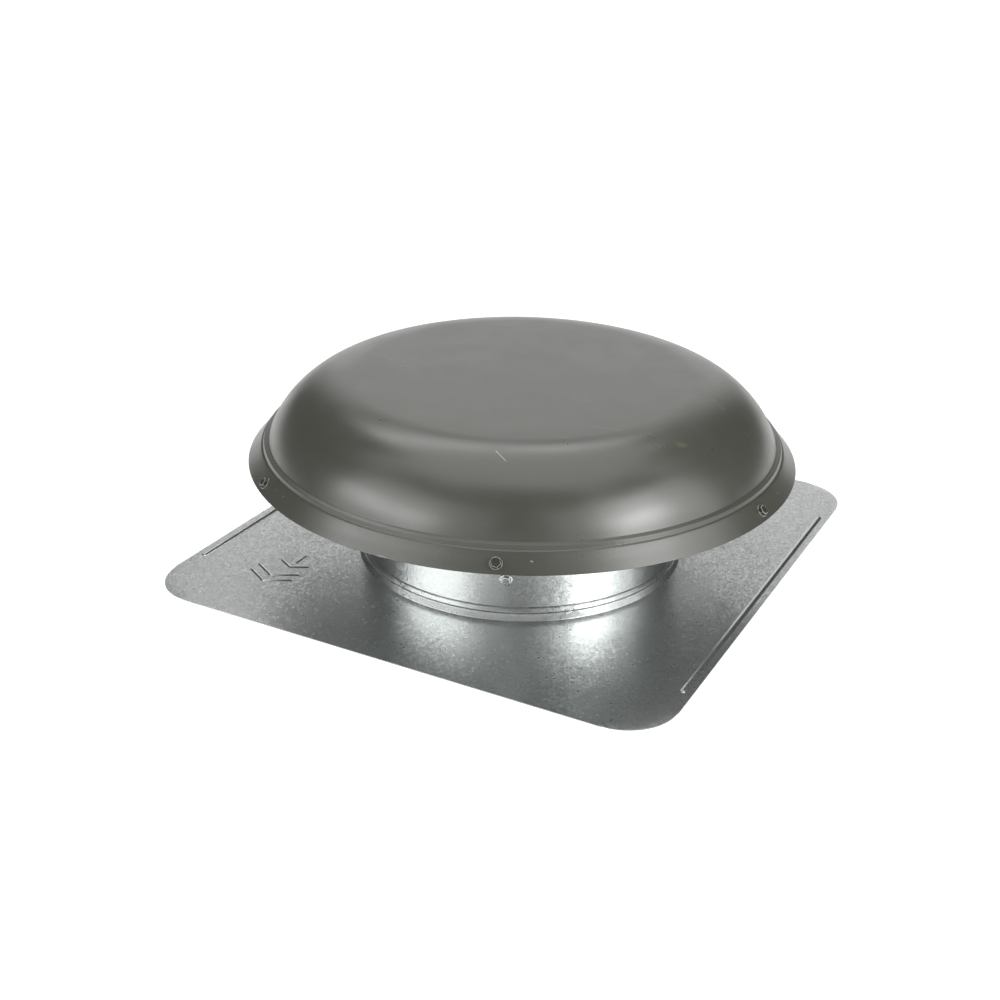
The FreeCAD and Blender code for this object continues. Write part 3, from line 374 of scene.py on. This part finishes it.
def hoodOutline(s):
    # radius and height of each corner of the profile, from the centre to the rim
    skirtTopR = s["rimRadius"] - s["skirtWidth"]
    skirtTopZ = s["rimHeight"] + s["skirtWidth"] * math.tan(math.radians(s["skirtSlope"]))
    beadR = skirtTopR - s["stepWidth"]
    beadLow = skirtTopZ + s["stepFall"]
    ledgeOut = (beadR, beadLow + s["beadRise"])
    ledgeIn = (beadR - s["ledgeWidth"], ledgeOut[1] + s["ledgeFall"])
    shoulder = (s["flatRadius"] + s["shoulderRadius"] * math.tan(math.radians(s["wallSlope"] / 2)),
                s["topHeight"])
    foot = meet(shoulder, s["wallSlope"], ledgeIn, ledgeOut)
    slope = math.radians(s["skirtSlope"])
    middle = ((skirtTopR + s["rimRadius"]) / 2 - s["skirtHollow"] * math.sin(slope),
              (skirtTopZ + s["rimHeight"]) / 2 - s["skirtHollow"] * math.cos(slope))
    return [(0, s["topHeight"]), shoulder, foot, (ledgeOut[0] - s["dropLean"], ledgeOut[1]),
            (beadR + s["dropLean"], beadLow), (skirtTopR, skirtTopZ), middle,
            (s["rimRadius"], s["rimHeight"])]


def makeHood(s):
    bm = bmesh.new()
    path = roundedPath(hoodOutline(s), s["bends"], s["turnPerStep"])
    flat = [path[0].lerp(path[1], k / s["flatSteps"]) for k in range(s["flatSteps"])]
    spinWire(bm, wire(bm, flat + path[1:]), s["steps"])
    tidyFaces(bm)
    giveThickness(bm, s["thickness"])
    return makePiece("hoodShell", bm, hoodPaint, stands=["hood"])


hoodShell = makeHood(hoodSizes)
print("hood made")


# flashing

flashingSizes = {
    "halfX": 298.6, "halfY": 313.7, "shiftX": -5.4, "shiftY": 16.0, "thickness": 0.8,
    "cornerRadius": 56.5, "cornerSteps": 30, "nick": 0.8, "nickReach": 8.0,
    "rings": (0.5, 1.5, 2.5, 3.5, 5.0, 7.0), "droop": 0.5, "droopWidth": 13.0, "droopEase": 14.0,
    "collarRadius": 179.4, "collarTop": 15.0, "stepHeight": 9.2, "stepWidth": 2.2,
    "stepFall": 0.5, "coveRun": 1.5, "footWidth": 10.0, "lipHeight": 1.4, "lipOut": 0.3,
    "bends": (0.9, 0.8, 0.8, 0.8), "steps": 256,
    "beadInset": 10.5, "beadHalfLength": 220.0, "beadHalfWidth": 3.2, "beadRise": 1.8,
    "strokeHalfWidth": 1.9, "strokeRise": 0.9}
strokes = [  # direction mark: an arrow to the up-slope edge and two chevrons
    ((-193.0, -181.0), (-210.0, -171.5)), ((-193.0, -181.0), (-176.0, -171.5)),
    ((-193.0, -168.5), (-193.0, -151.0)),
    ((-200.5, -221.0), (-226.5, -206.0)), ((-200.5, -221.0), (-174.5, -206.0)),
    ((-200.5, -207.0), (-226.5, -192.0)), ((-200.5, -207.0), (-174.5, -192.0))]


def sheetOutline(s):
    points = []
    for k, (sx, sy) in enumerate([(1, 1), (-1, 1), (-1, -1), (1, -1)]):
        centre = Vector((s["shiftX"] + sx * (s["halfX"] - s["cornerRadius"]),
                         s["shiftY"] + sy * (s["halfY"] - s["cornerRadius"]), s["thickness"]))
        for j in range(s["cornerSteps"] + 1):
            points.append(centre + polar(s["cornerRadius"], 90 * (k + j / s["cornerSteps"])))
    return points


def cornerShare(p, s):
    # how far into a corner square a point lies, or None off the corners
    x = abs(p.x - s["shiftX"]) - (s["halfX"] - s["cornerRadius"])
    y = abs(p.y - s["shiftY"]) - (s["halfY"] - s["cornerRadius"])
    nearest = 0.01
    return (x, y, math.hypot(x, y)) if min(x, y) > nearest else None


def shapeCorners(bm, s):
    # the rounded corners lie a little inside the true arc and droop to their edge
    for v in bm.verts:
        found = cornerShare(v.co, s)
        if not found:
            continue
        x, y, reach = found
        side = Vector((math.copysign(1, v.co.x - s["shiftX"]) * x,
                       math.copysign(1, v.co.y - s["shiftY"]) * y, 0))
        fade = 1 - (s["cornerRadius"] - reach) / s["nickReach"]
        v.co -= side.normalized() * s["nick"] * max(0.0, fade)
        start = s["cornerRadius"] - s["droopWidth"]
        share = max(0.0, min(1.0, (reach - start) / s["droopWidth"]))
        ease = min(1.0, math.degrees(math.atan2(min(x, y), max(x, y))) / s["droopEase"])
        v.co.z -= s["droop"] * share * share * ease


def makeSheet(s):
    bm = bmesh.new()
    bm.faces.new([bm.verts.new(p) for p in sheetOutline(s)])
    bm.normal_update()
    middle = bm.faces[:]
    for width in s["rings"]:
        bmesh.ops.inset_region(bm, faces=middle, thickness=width, use_even_offset=True,
                               use_boundary=True)
    inner = middle[0].edges[:]
    bmesh.ops.delete(bm, geom=middle, context="FACES_ONLY")
    stepRadius = s["collarRadius"] + s["stepWidth"]
    coveRadius = stepRadius + s["coveRun"]
    footRadius = coveRadius + s["footWidth"]
    circle = bmesh.ops.create_circle(bm, segments=s["steps"], radius=footRadius,
                                     matrix=Matrix.Translation((0, 0, s["thickness"])))
    rim = list({e for v in circle["verts"] for e in v.link_edges})
    bmesh.ops.triangle_fill(bm, edges=inner + rim, use_beauty=True, normal=zAxis)
    path = roundedPath([(footRadius, s["thickness"]), (coveRadius, s["thickness"]),
                        (stepRadius, s["stepHeight"] - s["stepFall"]),
                        (s["collarRadius"], s["stepHeight"]),
                        (s["collarRadius"], s["collarTop"] - s["lipHeight"]),
                        (s["collarRadius"] + s["lipOut"], s["collarTop"])], s["bends"])
    spinWire(bm, wire(bm, path), s["steps"])
    tidyFaces(bm)
    if any(f.normal.z < -0.5 for f in bm.faces):  # the whole sheet has to face up
        bmesh.ops.reverse_faces(bm, faces=bm.faces)
    shapeCorners(bm, s)
    giveThickness(bm, s["thickness"])
    for v in bm.verts:
        v.co.z = max(v.co.z, 0.0)
    return bm


ridgeShape = {"endSteps": 20, "rings": 6, "rootShare": 0.4, "sink": 0.002, "crest": 0.4}


def pressRidge(bm, start, end, halfWidth, rise, sheet):
    # a soft ridge with round ends: a long flat ring, then insets that climb a cosine
    s = ridgeShape
    a, b = Vector((*start, 0)), Vector((*end, 0))
    turn = Matrix.Rotation(math.atan2(b.y - a.y, b.x - a.x), 4, "Z")
    root = sheet * s["rootShare"]
    made = bmesh.ops.create_circle(bm, cap_ends=True, segments=s["endSteps"], radius=halfWidth,
                                   matrix=Matrix.Translation((0, 0, root)))
    far = [v for v in made["verts"] if v.co.x > 1e-4]
    bmesh.ops.translate(bm, verts=far, vec=((b - a).length, 0, 0))
    bmesh.ops.transform(bm, verts=made["verts"], matrix=Matrix.Translation(a) @ turn)
    face = list({f for v in made["verts"] for f in v.link_faces})
    body = bmesh.ops.extrude_face_region(bm, geom=face)
    lifted = [g for g in body["geom"] if isinstance(g, bmesh.types.BMVert)]
    bmesh.ops.translate(bm, verts=lifted, vec=(0, 0, sheet - root - s["sink"]))
    top = [g for g in body["geom"] if isinstance(g, bmesh.types.BMFace)]
    climb = [(1 - math.cos(math.pi * k / s["rings"])) / 2 for k in range(s["rings"] + 1)]
    for low, high in zip(climb, climb[1:]):
        bmesh.ops.inset_region(bm, faces=top, thickness=halfWidth / (s["rings"] + s["crest"]),
                               depth=(high - low) * rise, use_even_offset=True)


def makeFlashing(s):
    bm = makeSheet(s)
    for side in (-1, 1):
        x = s["shiftX"] + side * (s["halfX"] - s["beadInset"])
        low, high = s["shiftY"] - s["beadHalfLength"], s["shiftY"] + s["beadHalfLength"]
        pressRidge(bm, (x, low), (x, high), s["beadHalfWidth"], s["beadRise"], s["thickness"])
    for start, end in strokes:
        pressRidge(bm, start, end, s["strokeHalfWidth"], s["strokeRise"], s["thickness"])
    bmesh.ops.recalc_face_normals(bm, faces=bm.faces)
    return makePiece("flashingSheet", bm, galvanised, stands=["base_flashing"])


flashingSheet = makeFlashing(flashingSizes)
print("flashing made")


# throat

throatSizes = {
    "radius": 178.5, "thickness": 0.8, "top": 130.6, "curl": 1.9, "hemHeight": 24.0,
    "seamAzimuth": 142.5, "seamWidth": 16.0, "seamThickness": 0.8, "seamLow": 16.0,
    "seamHigh": 125.8, "steps": 256, "curlSteps": 14, "curlTurn": 300.0, "curlEase": 0.6,
    "hemBend": 0.3, "hemRound": 0.5, "edgeEase": 0.4, "lapEase": 0.2, "lapSteps": 6}


def makeThroat(s):
    bm = bmesh.new()
    inside = s["radius"] - s["thickness"]
    mouth = inside - s["thickness"]
    curlZ = s["top"] - s["curl"]
    centre = Vector((inside + s["curl"], 0, curlZ))
    ease, bend, hem = s["edgeEase"], s["hemBend"], s["hemHeight"]
    section = [Vector((mouth, 0, ease)), Vector((mouth, 0, hem - s["hemRound"])),
               Vector((inside - bend, 0, hem)), Vector((inside, 0, hem + bend))]
    for k in range(s["curlSteps"] + 1):
        a = math.radians(180 - s["curlTurn"] * k / s["curlSteps"])
        section.append(centre + Vector((math.cos(a), 0, math.sin(a))) * s["curl"])
    section += [Vector((s["radius"], 0, curlZ - s["curl"] - s["curlEase"])),
                Vector((s["radius"], 0, ease)), Vector((s["radius"] - ease, 0, 0)),
                Vector((mouth + ease, 0, 0))]
    spinWire(bm, wire(bm, section, True), s["steps"])
    tidyFaces(bm)
    half = math.degrees(s["seamWidth"] / 2 / s["radius"])
    low, high, ease = s["seamLow"], s["seamHigh"], s["lapEase"]
    root, out = s["radius"] - ease, s["radius"] + s["seamThickness"]
    strip = bmesh.new()
    lap = [(root, low), (out - ease, low), (out, low + ease), (out, high - ease),
           (out - ease, high), (root, high)]
    edges = wire(strip, [Vector((r, 0, z)) for r, z in lap], True)
    bmesh.ops.rotate(strip, verts=strip.verts, cent=origin,
                     matrix=Matrix.Rotation(math.radians(s["seamAzimuth"] - half), 3, "Z"))
    spinWire(strip, edges, s["lapSteps"], 2 * half)
    bmesh.ops.holes_fill(strip, edges=[e for e in strip.edges if e.is_boundary])
    bmesh.ops.recalc_face_normals(strip, faces=strip.faces)
    lapMesh = bpy.data.meshes.new("lap")
    strip.to_mesh(lapMesh)
    bm.from_mesh(lapMesh)
    strip.free()
    bpy.data.meshes.remove(lapMesh)
    return makePiece("throatTube", bm, throatSheet, stands=["throat"])


throatTube = makeThroat(throatSizes)
print("throat made")


# hex washer head screws

screwSizes = {
    "washerRadius": 7.0, "washerHeight": 1.1, "acrossFlats": 9.5, "headHeight": 3.6,
    "shankRadius": 2.3, "length": 10.0, "tipLength": 2.5, "recess": 0.7, "gap": 0.05,
    "throatHeight": 47.0, "skirtShare": 0.53, "azimuth": -67.5, "count": 6, "boxAzimuth": 90.0,
    "washerTaper": 0.9, "washerBevel": 0.3, "headBevel": 0.5, "bevelSteps": 3, "headSink": 0.4,
    "recessRim": 0.9, "recessTaper": 0.5, "tipRadius": 0.3, "washerSides": 48, "shankSides": 24,
    "firstTurn": 17.0, "turnPerScrew": 23.0}


def screwCone(bm, sides, low, high, lowRadius, highRadius):
    place = Matrix.Translation((0, 0, (low + high) / 2))
    return bmesh.ops.create_cone(bm, cap_ends=True, segments=sides, depth=high - low,
                                 radius1=lowRadius, radius2=highRadius, matrix=place)["verts"]


def easeEdges(bm, edges, offset, s):
    return bmesh.ops.bevel(bm, geom=edges, offset=offset, offset_type="OFFSET",
                           segments=s["bevelSteps"], profile=0.5, affect="EDGES",
                           material=-1)["faces"]


def screwMesh(s, length):
    # the eased edges are marked for the lighter edge colour, wear that also serves as a painted
    # highlight on the bevels, and the rest of the faces aren't
    bm = bmesh.new()
    wearAndGlint = bm.faces.layers.float.new("wearAndGlint")
    washer, topZ = s["washerHeight"], s["washerHeight"] + s["headHeight"]
    screwCone(bm, s["washerSides"], 0, washer, s["washerRadius"],
              s["washerRadius"] - s["washerTaper"])
    flat = 1e-5
    rims = [e for e in bm.edges if abs(e.verts[0].co.z - e.verts[1].co.z) < flat]
    eased = easeEdges(bm, rims, s["washerBevel"], s)
    corner = s["acrossFlats"] / math.sqrt(3)
    head = screwCone(bm, 6, washer - s["headSink"], topZ, corner, corner)
    eased += easeEdges(bm, list({e for v in head for e in v.link_edges}), s["headBevel"], s)
    for face in eased:
        face[wearAndGlint] = 1.0
    nearTop = topZ - 0.01
    top = [f for f in bm.faces if f.calc_center_median().z > nearTop and f.normal.z > 0.9]
    bmesh.ops.inset_region(bm, faces=top, thickness=s["recessRim"], depth=0.0)
    bmesh.ops.inset_region(bm, faces=top, thickness=s["recessTaper"], depth=-s["recess"])
    screwCone(bm, s["shankSides"], s["tipLength"] - length, 0, s["shankRadius"], s["shankRadius"])
    screwCone(bm, s["shankSides"], -length, s["tipLength"] - length, s["tipRadius"],
              s["shankRadius"])
    mesh = bpy.data.meshes.new("screw")
    bm.to_mesh(mesh)
    bm.free()
    return mesh


def placeScrews(name, s, places, material, stands, length):
    # one piece of many screws, each turned on its own axis by a different amount
    template = screwMesh(s, length)
    bm = bmesh.new()
    for k, (spot, direction) in enumerate(places):
        before = len(bm.verts)
        bm.from_mesh(template)
        bm.verts.ensure_lookup_table()
        turn = direction.to_track_quat("Z", "Y").to_matrix().to_4x4()
        spin = Matrix.Rotation(math.radians(s["firstTurn"] + s["turnPerScrew"] * k), 4, "Z")
        bmesh.ops.transform(bm, verts=bm.verts[before:],
                            matrix=Matrix.Translation(spot) @ turn @ spin)
    bpy.data.meshes.remove(template)
    return makePiece(name, bm, material, stands=stands, sharp=40)


def hoodScrewPlaces(s, h):
    slope = math.radians(h["skirtSlope"])
    fall = h["skirtWidth"] * math.tan(slope)
    radius = h["rimRadius"] - (1 - s["skirtShare"]) * h["skirtWidth"] + s["gap"] * math.sin(slope)
    height = h["rimHeight"] + (1 - s["skirtShare"]) * fall + s["gap"] * math.cos(slope)
    azimuths = [s["azimuth"] + 360 / s["count"] * k for k in range(s["count"])]
    return [(polar(radius, a, height), polar(math.sin(slope), a, math.cos(slope)))
            for a in azimuths]


def throatScrewPlaces(s, t):
    azimuths = [s["azimuth"] + 360 / s["count"] * k for k in range(s["count"])]
    azimuths.append(s["boxAzimuth"])  # this one also holds the junction box
    return [(polar(t["radius"] + s["gap"], a, s["throatHeight"]), polar(1, a)) for a in azimuths]


hoodScrews = placeScrews("hoodScrews", screwSizes, hoodScrewPlaces(screwSizes, hoodSizes),
                         screwPaint, ["hood_screws"], screwSizes["length"])
throatScrews = placeScrews("throatScrews", screwSizes, throatScrewPlaces(screwSizes, throatSizes),
                           zincPlate, ["throat_screws"], screwSizes["length"])
print("screws made")


# finishes of the nodes that keep their CAD shape

nodeFinishes = {
    "guard_screen": galvanised, "motor_mount": galvanised, "box_lid": galvanised,
    "junction_box": galvanised, "box_screws": zincPlate, "tie_bolts": zincPlate,
    "tie_bolt_nuts": zincPlate, "terminal_screws": zincPlate, "motor_shell": motorPaint,
    "lower_end_bell": castAluminium, "upper_end_bell": castAluminium, "blade_hub": castAluminium,
    "fan_blade": bladeAluminium, "hub_rivets": bladeAluminium, "screen_rivets": bladeAluminium,
    "motor_shaft": brightSteel, "lower_bearing": brightSteel, "upper_bearing": brightSteel,
    "thrust_washers": brightSteel, "hub_set_screw": brightSteel, "stator_core": coreSteel,
    "rotor_core": coreSteel, "stator_windings": copperWire, "motor_lead": leadJacket,
    "lead_bushings": blackRubber, "thermostat_body": caseMoulding,
    "terminal_block": caseMoulding, "thermostat_dial": dialMoulding}
bracketCount = 6
for k in range(bracketCount):
    nodeFinishes["hood_bracket_%d" % (k + 1)] = galvanised
for nodeName, finish in nodeFinishes.items():
    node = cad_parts[nodeName]
    node.data.materials.clear()
    node.data.materials.append(finish)


# floor, light and camera

studio = {
    "floorSize": 14.0, "floorDrop": 0.0004, "floorTone": 0.72, "floorGlow": (0.6, 1.0),
    "glowReach": (0.9, 2.6), "worldFill": 0.06, "roomLevel": 0.06, "backdrop": 1.12,
    "backdropAzimuth": 116.0, "backdropHalf": (15.0, 27.0), "backdropTop": (0.40, 0.54),
    "lamps": [  # azimuth and elevation in degrees, distance, width, height, radiance
        ("backStrip", 127.0, 51.0, 2.0, 1.6, 0.45, 2.7),
        ("overhead", 116.0, 82.0, 2.0, 2.1, 2.1, 1.32)],
    "panelDistance": 1.9,
    "panels": [  # azimuth, elevation, width and height in degrees, radiance
        ("leftHigh", -122, 38, 48, 14, 1.75), ("leftMiddle", -122, 24, 48, 14, 4.5),
        ("leftLow", -122, 10, 48, 14, 1.4), ("leftTop", -158, 54, 24, 18, 1.1),
        ("frontLow", -74, 10, 48, 14, 0.75), ("frontHigh", -86, 31, 24, 28, 0.75),
        ("frontRight", -38, 26, 24, 38, 0.9), ("rightHigh", -12, 38, 26, 14, 4.2),
        ("rightMiddle", -13, 24, 26, 14, 8.8), ("rightLow", -14, 10, 24, 14, 3.4),
        ("rightSide", 12, 24, 24, 42, 1.95), ("rightTop", 34, 54, 24, 18, 0.8)],
    "aim": (0.0, 0.0, 0.15)}
cameraSizes = {
    "azimuth": 27.6326, "elevation": 25.2108, "roll": 0.9885, "place": (0.6838, -1.3567, 0.7693),
    "focalPixels": 1475.76, "sensor": 36.0, "imagePixels": 1000, "reach": 50.0}


def makeFloor(s):
    # a matte floor that keeps the shadow, and glows white for the camera and in reflections
    bm = bmesh.new()
    bmesh.ops.create_grid(bm, x_segments=1, y_segments=1, size=s["floorSize"] / 2)
    bmesh.ops.translate(bm, verts=bm.verts, vec=(0, 0, -s["floorDrop"]))
    mesh = bpy.data.meshes.new("floor")
    bm.to_mesh(mesh)
    bm.free()
    floor = bpy.data.objects.new("floor", mesh)
    bpy.context.scene.collection.objects.link(floor)
    material = bpy.data.materials.new("paleFloor")
    material.use_nodes = True
    tree = material.node_tree
    tree.nodes.clear()
    level = s["floorTone"]
    matte = addNode(tree, "ShaderNodeBsdfDiffuse", {"Color": (level, level, level, 1)})
    reach = addNode(tree, "ShaderNodeVectorMath", {0: objectCoords(tree)},
                    operation="LENGTH").outputs["Value"]
    strength = remap(tree, reach, *s["glowReach"], *s["floorGlow"])
    glow = addNode(tree, "ShaderNodeEmission", {"Color": (1, 1, 1, 1), "Strength": strength})
    lit = addNode(tree, "ShaderNodeAddShader", {0: matte.outputs[0], 1: glow.outputs[0]})
    rays = addNode(tree, "ShaderNodeLightPath")
    seen = maths(tree, "ADD", rays.outputs["Is Camera Ray"], rays.outputs["Is Glossy Ray"], True)
    seen = maths(tree, "ADD", seen, rays.outputs["Is Transmission Ray"], True)
    mix = addNode(tree, "ShaderNodeMixShader", {0: seen, 1: matte.outputs[0], 2: lit.outputs[0]})
    addNode(tree, "ShaderNodeOutputMaterial", {"Surface": mix.outputs[0]})
    mesh.materials.append(material)


def makeWorld(s):
    # white for the camera, a white backdrop in a dim room in reflections, faint fill elsewhere
    world = bpy.data.worlds.new("studio")
    bpy.context.scene.world = world
    world.use_nodes = True
    tree = world.node_tree
    tree.nodes.clear()
    rays = addNode(tree, "ShaderNodeLightPath")
    direction = addNode(tree, "ShaderNodeTexCoord").outputs["Generated"]
    level = vectorMaths(tree, "NORMALIZE", vectorMaths(tree, "MULTIPLY", direction, (1, 1, 0)))
    towards = addNode(tree, "ShaderNodeVectorMath", {0: level, 1: polar(1, s["backdropAzimuth"])},
                      operation="DOT_PRODUCT").outputs["Value"]
    near, far = (math.cos(math.radians(a)) for a in s["backdropHalf"])
    height = addNode(tree, "ShaderNodeSeparateXYZ", {0: direction}).outputs["Z"]
    white = maths(tree, "MULTIPLY", remap(tree, towards, far, near, 0.0, 1.0),
                  remap(tree, height, *s["backdropTop"], 1.0, 0.0))
    seen = remap(tree, white, 0.0, 1.0, s["roomLevel"], s["backdrop"])
    gloss = maths(tree, "ADD", rays.outputs["Is Glossy Ray"],
                  rays.outputs["Is Transmission Ray"], True)
    strength = addNode(tree, "ShaderNodeMix", {0: gloss, 2: s["worldFill"], 3: seen}).outputs[0]
    strength = addNode(tree, "ShaderNodeMix", {0: rays.outputs["Is Camera Ray"], 2: strength,
                                               3: 1.0}).outputs[0]
    sky = addNode(tree, "ShaderNodeBackground", {"Color": (1, 1, 1, 1), "Strength": strength})
    addNode(tree, "ShaderNodeOutputWorld", {"Surface": sky.outputs[0]})


def panelLamps(s):
    # the panels of the two front softboxes lie on a sphere around the object
    rows = []
    for name, azimuth, elevation, across, upright, radiance in s["panels"]:
        reach = 2 * s["panelDistance"]
        width = reach * math.tan(math.radians(across / 2)) * math.cos(math.radians(elevation))
        height = reach * math.tan(math.radians(upright / 2))
        rows.append((name, azimuth, elevation, s["panelDistance"], width, height, radiance))
    return rows


def makeLamps(s):
    aim = Vector(s["aim"])
    for name, azimuth, elevation, distance, width, height, radiance in s["lamps"] + panelLamps(s):
        lamp = bpy.data.lights.new(name, "AREA")
        lamp.shape = "RECTANGLE"
        lamp.size, lamp.size_y = width, height
        lamp.energy = radiance * math.pi * width * height
        box = bpy.data.objects.new(name, lamp)
        bpy.context.scene.collection.objects.link(box)
        flat = polar(math.cos(math.radians(elevation)), azimuth, math.sin(math.radians(elevation)))
        box.location = aim + flat * distance
        box.rotation_euler = flat.to_track_quat("Z", "Y").to_euler()


def makeCamera(s):
    az, el, roll = (math.radians(s[k]) for k in ("azimuth", "elevation", "roll"))
    back = Vector((math.sin(az) * math.cos(el), -math.cos(az) * math.cos(el), math.sin(el)))
    right = Vector((math.cos(az), math.sin(az), 0))
    up = back.cross(right)
    tiltedRight = right * math.cos(roll) + up * math.sin(roll)
    tiltedUp = up * math.cos(roll) - right * math.sin(roll)
    turn = Matrix((tiltedRight, tiltedUp, back)).transposed().to_4x4()
    lens = bpy.data.cameras.new("camera")
    lens.sensor_width = s["sensor"]
    lens.lens = s["focalPixels"] * s["sensor"] / s["imagePixels"]
    lens.clip_end = s["reach"]
    camera = bpy.data.objects.new("camera", lens)
    bpy.context.scene.collection.objects.link(camera)
    camera.matrix_world = Matrix.Translation(s["place"]) @ turn
    bpy.context.scene.camera = camera


makeFloor(studio)
makeWorld(studio)
makeLamps(studio)
makeCamera(cameraSizes)
bpy.context.scene.view_settings.view_transform = "Standard"
print("studio ready")
